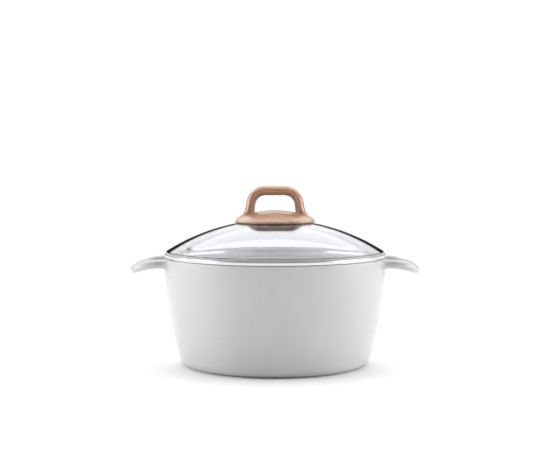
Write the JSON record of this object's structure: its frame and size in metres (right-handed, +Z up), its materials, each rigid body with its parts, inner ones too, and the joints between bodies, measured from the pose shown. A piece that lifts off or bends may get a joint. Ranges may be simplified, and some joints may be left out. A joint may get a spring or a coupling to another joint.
{
  "type": "saucepan with glass lid",
  "caption": "Deep two-handled saucepan in white coated cast metal with a domed glass lid, steel rim band and wood-effect bridge knob.",
  "frame": {"origin": "on the ground, at the middle of the pot's base", "axes": "+Z up through the lid's knob; X through the two side handles and along the knob's bridge; the pictured front faces -Y"},
  "size_m": [0.323, 0.248, 0.1999],
  "materials": {
    "white_coating": "satin white ceramic coating on cast aluminium",
    "base_steel": "brushed, perforated",
    "polished_steel": "polished stainless steel",
    "pale_silicone": "translucent pale grey silicone",
    "dark_silicone": "matte dark grey silicone",
    "tempered_glass": "clear tempered",
    "wood_effect": "phenolic moulding with a light wood-grain film",
    "insert_brass": "turned",
    "screw_steel": "zinc-plated"
  },
  "bodies": {
    "pot": {"pot_body": "white_coating", "induction_base_plate": "base_steel"},
    "lid": {"lid_rim_band": "polished_steel", "glass_seal": "pale_silicone", "lid_glass": "tempered_glass", "steam_vent_eyelet": "polished_steel", "lid_knob": "wood_effect", "knob_insert": "insert_brass", "upper_gasket": "dark_silicone", "lower_gasket": "dark_silicone", "retaining_plate": "polished_steel", "spring_washer": "screw_steel", "knob_screw": "screw_steel"}
  },
  "joints": [
    {"name": "lid_lift", "type": "slide", "parent": "pot", "child": "lid", "axis": [0, 0, 1], "range_m": [0, 0.12]}
  ]
}
